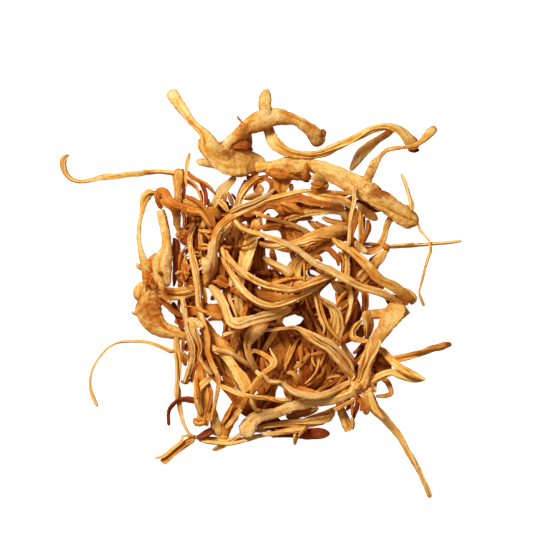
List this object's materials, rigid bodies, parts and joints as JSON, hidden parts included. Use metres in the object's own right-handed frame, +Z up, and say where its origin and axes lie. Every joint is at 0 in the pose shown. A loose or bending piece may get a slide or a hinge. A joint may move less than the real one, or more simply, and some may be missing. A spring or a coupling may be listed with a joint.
{
  "type": "dried cordyceps clump",
  "caption": "Springy clump of dried orange cordyceps fungus: long wrinkled clubs and threads, bowed and tangled, grown together at their bases.",
  "frame": {"origin": "centre of the clump's box in plan, on the surface it lies on", "axes": "+Z up out of the surface; +X to the right and +Y away from the viewer of the picture, which looks straight down"},
  "size_m": [0.1006, 0.1024, 0.0135],
  "materials": {
    "pale": "dry, pale gold skin with fine lengthwise wrinkles",
    "gold": "dry, golden orange skin, finely wrinkled",
    "amber": "dry, deep orange skin, slightly glossy on the ridges",
    "brown": "dry, browned and shaded skin",
    "russet": "dry, dark red-brown skin, slightly glossy"
  },
  "bodies": {
    "root": {"bed_leaf": "brown", "gall_club": "gold", "hanging_loop": "gold", "thin_arc_left": "gold", "forked_stub_low": "amber", "dark_curl": "russet", "lower_left_leaf": "amber", "dark_red_club": "russet", "cut_stem": "gold", "trunk": "gold", "vertical_mid": "gold", "base_knot": "pale", "long_tail_low_right": "gold", "arm_under_body": "gold", "thin_horizontal": "gold", "spear_leaf": "gold", "outer_left_arc": "gold", "folded_band": "gold", "hook_left": "gold", "orange_strand_ul": "amber", "pale_leaf_ul": "pale", "knob_left": "amber", "lower_band": "amber", "broad_leaf": "gold", "bean_leaf": "gold", "brown_brace": "brown", "orange_diag": "amber", "bottom_brace": "gold", "bottom_log": "pale", "broad_body": "gold", "tail_right": "gold", "thick_left_arm": "pale", "stem_to_plate": "gold", "band_left": "gold", "ribbed_club": "gold", "long_bow": "gold", "stem_a": "pale", "fan_leaf": "gold", "bundle_c": "gold", "pale_stem": "pale", "folded_leaf": "pale", "fork_strand": "gold", "lower_arc": "pale", "strand_diag_mid": "pale", "arm_right": "gold", "spike_lower": "gold", "spike_upper": "gold", "twig_right": "amber", "sweeper": "pale", "arc_lower": "pale", "arc_upper": "pale", "pair_strand": "gold", "golden_diagonal": "gold", "long_diagonal": "pale", "s_strand": "gold", "club_plate": "gold", "arch": "gold", "arch_horn": "gold", "club_right": "gold", "thin_upright_right": "pale"}
  },
  "joints": []
}
